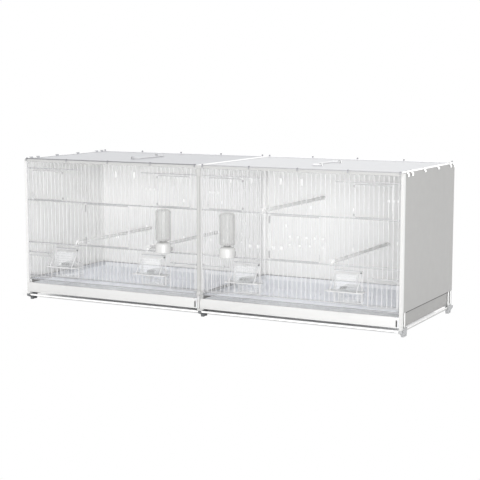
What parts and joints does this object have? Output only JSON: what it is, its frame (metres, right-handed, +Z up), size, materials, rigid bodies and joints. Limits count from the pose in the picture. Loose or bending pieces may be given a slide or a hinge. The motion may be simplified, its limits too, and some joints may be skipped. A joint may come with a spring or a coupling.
{
  "type": "breeding cage",
  "caption": "Wide two-compartment wire-fronted breeding cage with metal sides, pull-out trays, feeders, drinkers, perches and a wire divider.",
  "frame": {"origin": "middle of the overall box, on the floor under the feet", "axes": "+X along the front to the right, +Y from the wire fronts to the backs, +Z up"},
  "size_m": [1.206, 0.4648, 0.4358],
  "materials": {
    "painted_sheet": "satin light grey paint",
    "roof_sheet": "satin light grey paint",
    "white_metal": "satin white paint",
    "tray_sheet": "satin white paint",
    "wire": "satin coated wire",
    "divider_wire": "zinc coated wire",
    "dark_rod": "dark steel",
    "foot_plastic": "dark grey plastic",
    "perch_plastic": "grey plastic",
    "cup_plastic": "white plastic",
    "clear_plastic": "clear plastic"
  },
  "bodies": {
    "carcass": {"side_panel_left": "painted_sheet", "side_panel_right": "painted_sheet", "back_panel_left": "painted_sheet", "back_panel_right": "painted_sheet", "roof_panel_left": "roof_sheet", "roof_panel_right": "roof_sheet", "roof_rod_front_left": "dark_rod", "roof_rod_front_right": "dark_rod", "roof_rod_rear_left": "dark_rod", "roof_rod_rear_right": "dark_rod", "front_post_left": "white_metal", "front_post_right": "white_metal", "base_skirt_left": "painted_sheet", "base_skirt_right": "painted_sheet", "roof_joint_strip": "white_metal", "centre_post": "white_metal", "divider_guide_rear": "white_metal", "centre_beam": "painted_sheet", "base_frame": "white_metal", "foot_front_left": "foot_plastic", "foot_front_centre": "foot_plastic", "foot_front_right": "foot_plastic", "foot_rear_left": "foot_plastic", "foot_rear_centre": "foot_plastic", "foot_rear_right": "foot_plastic", "front_grille_left": "wire", "front_grille_right": "wire"},
    "tray_left": {"tray_left": "tray_sheet"},
    "tray_right": {"tray_right": "tray_sheet"},
    "floor_grid_left": {"floor_grid_left": "wire"},
    "floor_grid_right": {"floor_grid_right": "wire"},
    "divider": {"divider": "divider_wire"},
    "middle_door_1": {"middle_door_1": "wire"},
    "middle_door_2": {"middle_door_2": "wire"},
    "drinker_base_1": {"drinker_base_1": "cup_plastic"},
    "drinker_base_2": {"drinker_base_2": "cup_plastic"},
    "drinker_bottle_1": {"drinker_bottle_1": "clear_plastic"},
    "drinker_bottle_2": {"drinker_bottle_2": "clear_plastic"},
    "handle_left": {"handle_left": "white_metal"},
    "handle_right": {"handle_right": "white_metal"},
    "nest_door_1": {"nest_door_1": "wire"},
    "nest_door_2": {"nest_door_2": "wire"},
    "nest_door_3": {"nest_door_3": "wire"},
    "nest_door_4": {"nest_door_4": "wire"},
    "corner_door_1": {"corner_door_1": "wire"},
    "corner_door_2": {"corner_door_2": "wire"},
    "corner_door_3": {"corner_door_3": "wire"},
    "corner_door_4": {"corner_door_4": "wire"},
    "perch_1": {"perch_1": "perch_plastic"},
    "perch_2": {"perch_2": "perch_plastic"},
    "perch_3": {"perch_3": "perch_plastic"},
    "perch_4": {"perch_4": "perch_plastic"},
    "feeder_unit_1": {"feeder_1": "clear_plastic", "feeder_bracket_1": "wire"},
    "feeder_unit_2": {"feeder_2": "clear_plastic", "feeder_bracket_2": "wire"},
    "feeder_unit_3": {"feeder_3": "clear_plastic", "feeder_bracket_3": "wire"},
    "feeder_unit_4": {"feeder_4": "clear_plastic", "feeder_bracket_4": "wire"}
  },
  "joints": [
    {"name": "tray_left_slide", "type": "slide", "parent": "carcass", "child": "tray_left", "axis": [0, -1, 0], "range_m": [0, 0.37]},
    {"name": "tray_right_slide", "type": "slide", "parent": "carcass", "child": "tray_right", "axis": [0, -1, 0], "range_m": [0, 0.37]},
    {"name": "floor_grid_left_slide", "type": "slide", "parent": "carcass", "child": "floor_grid_left", "axis": [0, -1, 0], "range_m": [0, 0.39]},
    {"name": "floor_grid_right_slide", "type": "slide", "parent": "carcass", "child": "floor_grid_right", "axis": [0, -1, 0], "range_m": [0, 0.39]},
    {"name": "divider_slide", "type": "slide", "parent": "carcass", "child": "divider", "axis": [0, -1, 0], "range_m": [0, 0.4]},
    {"name": "nest_door_1_hinge", "type": "hinge", "parent": "carcass", "child": "nest_door_1", "pos_m": [-0.46364, -0.18435, 0.35], "axis": [0, 0, 1], "range_deg": [0, 110]},
    {"name": "nest_door_2_hinge", "type": "hinge", "parent": "carcass", "child": "nest_door_2", "pos_m": [-0.13636, -0.18435, 0.35], "axis": [0, 0, -1], "range_deg": [0, 110]},
    {"name": "nest_door_3_hinge", "type": "hinge", "parent": "carcass", "child": "nest_door_3", "pos_m": [0.13636, -0.18435, 0.35], "axis": [0, 0, 1], "range_deg": [0, 110]},
    {"name": "nest_door_4_hinge", "type": "hinge", "parent": "carcass", "child": "nest_door_4", "pos_m": [0.46364, -0.18435, 0.35], "axis": [0, 0, -1], "range_deg": [0, 110]},
    {"name": "middle_door_1_hinge", "type": "hinge", "parent": "carcass", "child": "middle_door_1", "pos_m": [-0.38182, -0.18435, 0.24], "axis": [0, 0, -1], "range_deg": [0, 110]},
    {"name": "middle_door_2_hinge", "type": "hinge", "parent": "carcass", "child": "middle_door_2", "pos_m": [0.21818, -0.18435, 0.24], "axis": [0, 0, -1], "range_deg": [0, 110]},
    {"name": "corner_door_1_hinge", "type": "hinge", "parent": "carcass", "child": "corner_door_1", "pos_m": [-0.3, -0.18435, 0.149], "axis": [-1, 0, 0], "range_deg": [0, 95]},
    {"name": "corner_door_2_hinge", "type": "hinge", "parent": "carcass", "child": "corner_door_2", "pos_m": [-0.3, -0.18435, 0.149], "axis": [-1, 0, 0], "range_deg": [0, 95]},
    {"name": "corner_door_3_hinge", "type": "hinge", "parent": "carcass", "child": "corner_door_3", "pos_m": [0.3, -0.18435, 0.149], "axis": [-1, 0, 0], "range_deg": [0, 95]},
    {"name": "corner_door_4_hinge", "type": "hinge", "parent": "carcass", "child": "corner_door_4", "pos_m": [0.3, -0.18435, 0.149], "axis": [-1, 0, 0], "range_deg": [0, 95]},
    {"name": "feeder_unit_1_slide", "type": "slide", "parent": "carcass", "child": "feeder_unit_1", "axis": [0, -1, 0], "range_m": [0, 0.045]},
    {"name": "feeder_unit_2_slide", "type": "slide", "parent": "carcass", "child": "feeder_unit_2", "axis": [0, -1, 0], "range_m": [0, 0.045]},
    {"name": "feeder_unit_3_slide", "type": "slide", "parent": "carcass", "child": "feeder_unit_3", "axis": [0, -1, 0], "range_m": [0, 0.045]},
    {"name": "feeder_unit_4_slide", "type": "slide", "parent": "carcass", "child": "feeder_unit_4", "axis": [0, -1, 0], "range_m": [0, 0.045]},
    {"name": "drinker_base_1_lift", "type": "slide", "parent": "carcass", "child": "drinker_base_1", "axis": [0, 0, 1], "range_m": [0, 0.01]},
    {"name": "drinker_bottle_1_lift", "type": "slide", "parent": "drinker_base_1", "child": "drinker_bottle_1", "axis": [0, 0, 1], "range_m": [0, 0.025]},
    {"name": "drinker_base_2_lift", "type": "slide", "parent": "carcass", "child": "drinker_base_2", "axis": [0, 0, 1], "range_m": [0, 0.01]},
    {"name": "drinker_bottle_2_lift", "type": "slide", "parent": "drinker_base_2", "child": "drinker_bottle_2", "axis": [0, 0, 1], "range_m": [0, 0.025]},
    {"name": "perch_1_lift", "type": "slide", "parent": "carcass", "child": "perch_1", "axis": [0, 0, 1], "range_m": [0, 0.025]},
    {"name": "perch_2_lift", "type": "slide", "parent": "carcass", "child": "perch_2", "axis": [0, 0, 1], "range_m": [0, 0.025]},
    {"name": "perch_3_lift", "type": "slide", "parent": "carcass", "child": "perch_3", "axis": [0, 0, 1], "range_m": [0, 0.025]},
    {"name": "perch_4_lift", "type": "slide", "parent": "carcass", "child": "perch_4", "axis": [0, 0, 1], "range_m": [0, 0.025]},
    {"name": "handle_left_hinge", "type": "hinge", "parent": "carcass", "child": "handle_left", "pos_m": [-0.306, 0.02095, 0.43113], "axis": [0, -1, 0], "range_deg": [0, 170]},
    {"name": "handle_right_hinge", "type": "hinge", "parent": "carcass", "child": "handle_right", "pos_m": [0.306, 0.02095, 0.43113], "axis": [0, 1, 0], "range_deg": [0, 170]}
  ]
}
